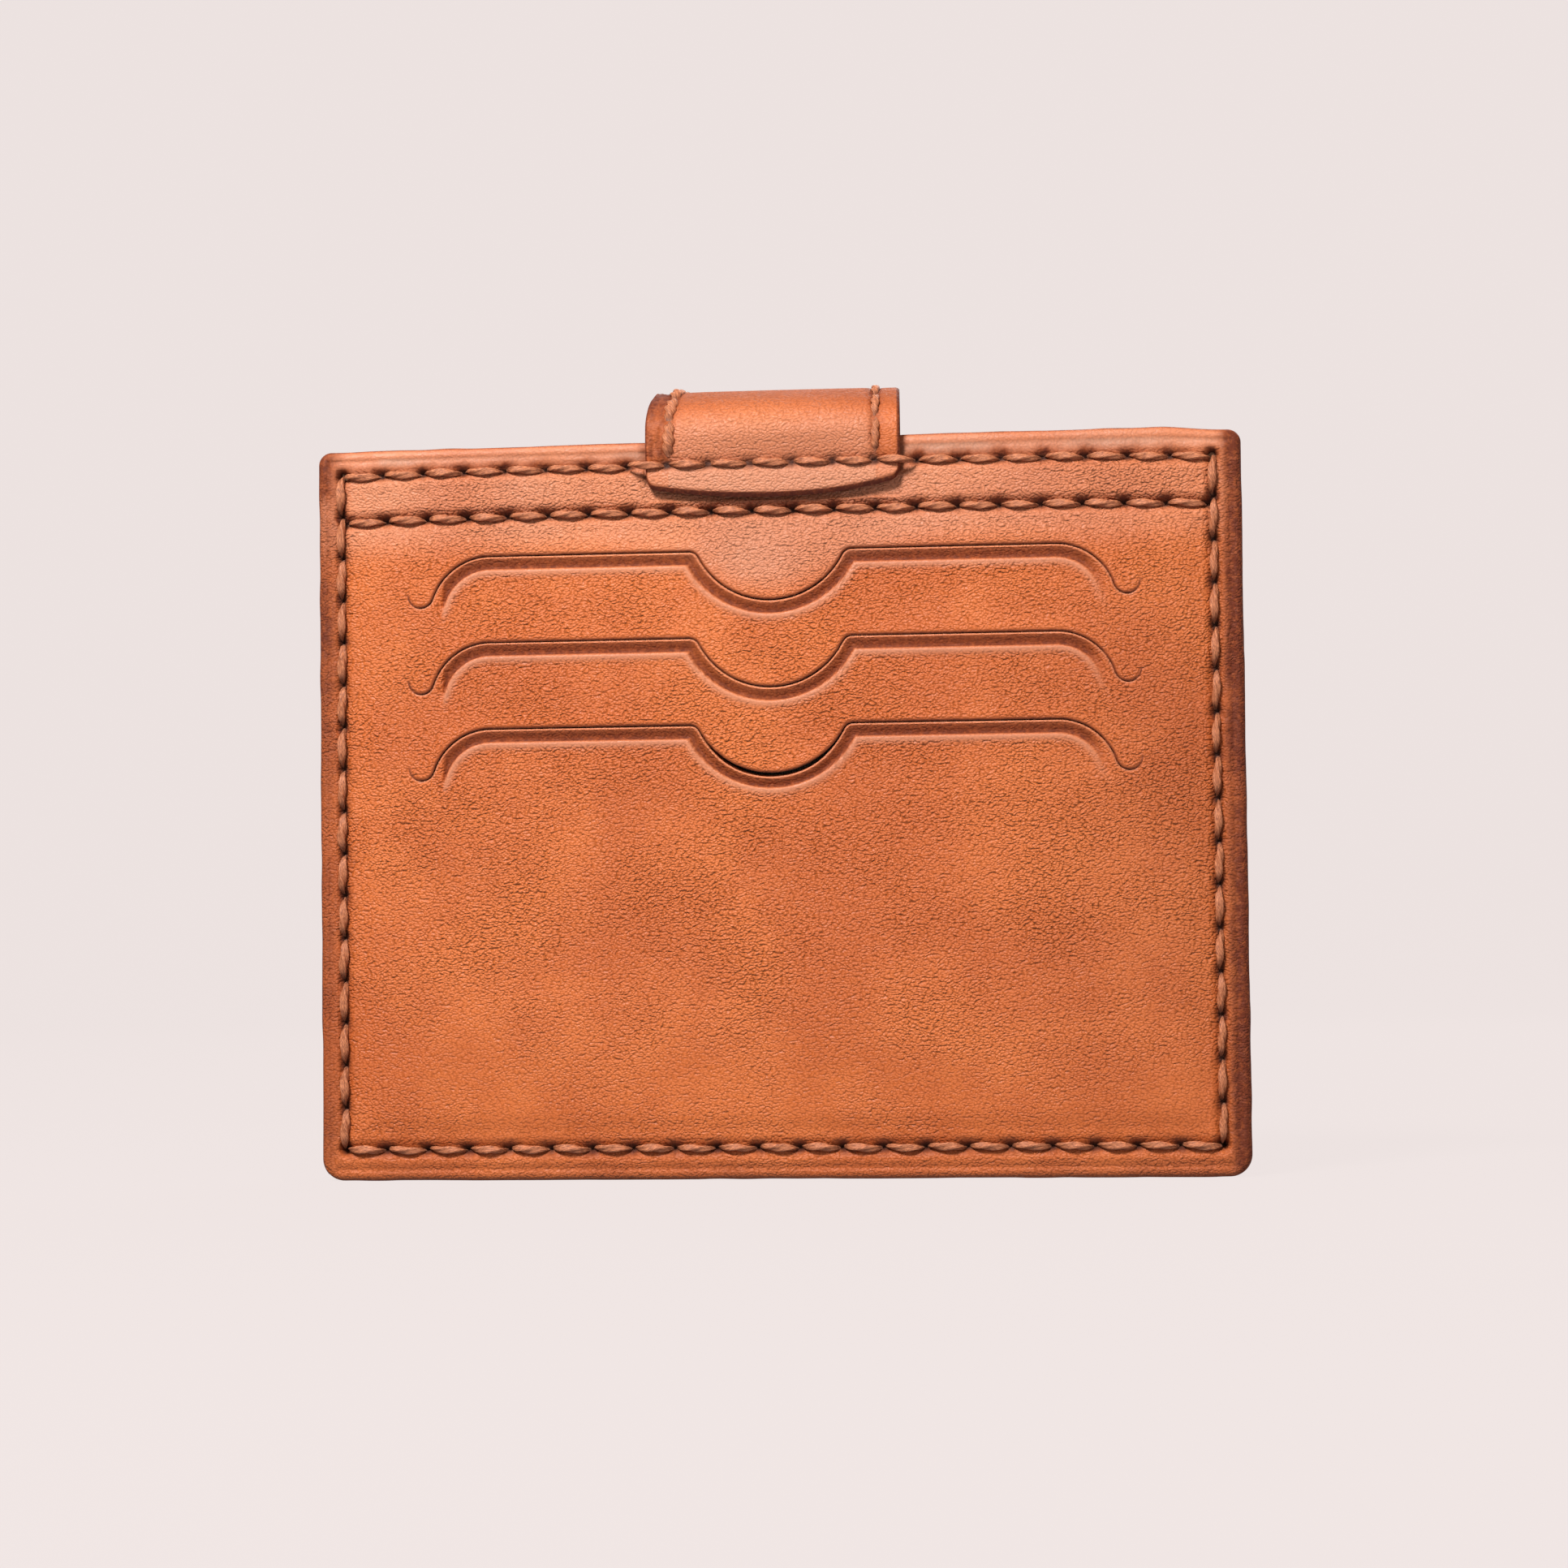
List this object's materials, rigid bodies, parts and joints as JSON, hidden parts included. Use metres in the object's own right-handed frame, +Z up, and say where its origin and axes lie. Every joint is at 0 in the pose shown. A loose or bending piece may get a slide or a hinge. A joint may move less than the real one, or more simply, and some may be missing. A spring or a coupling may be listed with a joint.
{
  "type": "card holder",
  "caption": "Slim stitched leather card holder with die-cut card slots in its front, a pleated main compartment, and a closure strap that arches over the mouth to a press stud.",
  "frame": {"origin": "centre of the bounding box on the plane of the lower edge, which the holder stands on", "axes": "+X to the right across the width, +Y from the slotted front to the back, +Z up towards the mouth and the strap"},
  "size_m": [0.112, 0.0198, 0.0963],
  "materials": {
    "tan_leather": "aged pebbled tan leather, semi-matte, darker burnished margins",
    "strap_leather": "tan leather, a little lighter and more worn than the body",
    "lining_leather": "thin brown gusset and strap lining leather, matte",
    "lining_cloth": "dark brown plain-woven lining cloth",
    "welt_board": "pressed bonded leather filler strip",
    "stiffener_board": "grey-brown stiffener board, matte",
    "waxed_thread": "twisted waxed brown thread",
    "snap_brass": "antique brass, satin",
    "spring_steel": "bright spring wire"
  },
  "bodies": {
    "front_half": {"front_panel": "tan_leather", "slot_lining_top": "lining_cloth", "slot_lining_middle": "lining_cloth", "slot_lining_bottom": "lining_cloth", "welt_left": "welt_board", "welt_right": "welt_board", "welt_bottom": "welt_board", "welt_top": "welt_board", "front_stiffener": "stiffener_board", "front_lining": "lining_cloth", "gusset_left": "lining_leather", "gusset_right": "lining_leather", "gusset_bottom": "lining_leather", "front_seam_thread": "waxed_thread", "second_row_thread": "waxed_thread", "strap_base": "strap_leather", "strap_base_thread_left": "waxed_thread", "strap_base_thread_right": "waxed_thread"},
    "back_half": {"back_panel": "tan_leather", "back_stiffener": "stiffener_board", "back_lining": "lining_cloth", "back_seam_thread": "waxed_thread", "snap_stud": "snap_brass", "snap_post": "snap_brass"},
    "strap_bridge": {"strap_bridge": "strap_leather", "strap_bridge_lining": "lining_leather", "strap_bridge_thread_left": "waxed_thread", "strap_bridge_thread_right": "waxed_thread"},
    "strap_tail": {"strap_tail": "strap_leather", "strap_tail_lining": "lining_leather", "strap_tail_thread": "waxed_thread", "snap_cap": "snap_brass", "snap_socket": "snap_brass", "snap_spring": "spring_steel"}
  },
  "joints": [
    {"name": "mouth_open", "type": "hinge", "parent": "front_half", "child": "back_half", "pos_m": [0, 0.0041, 0], "axis": [-1, 0, 0], "range_deg": [0, 10], "deforming": ["gusset_left", "gusset_right"]},
    {"name": "strap_lift", "type": "hinge", "parent": "front_half", "child": "strap_bridge", "pos_m": [0, -0.00904, 0.09091], "axis": [1, 0, 0], "range_deg": [0, 28]},
    {"name": "strap_unbend", "type": "hinge", "parent": "strap_bridge", "child": "strap_tail", "pos_m": [0, 0.00825, 0.09091], "axis": [1, 0, 0], "range_deg": [0, 92]}
  ],
  "couplings": [
    {"joint": "strap_lift", "follows": "mouth_open", "ratio": 2.8},
    {"joint": "strap_unbend", "follows": "mouth_open", "ratio": 9.2}
  ]
}
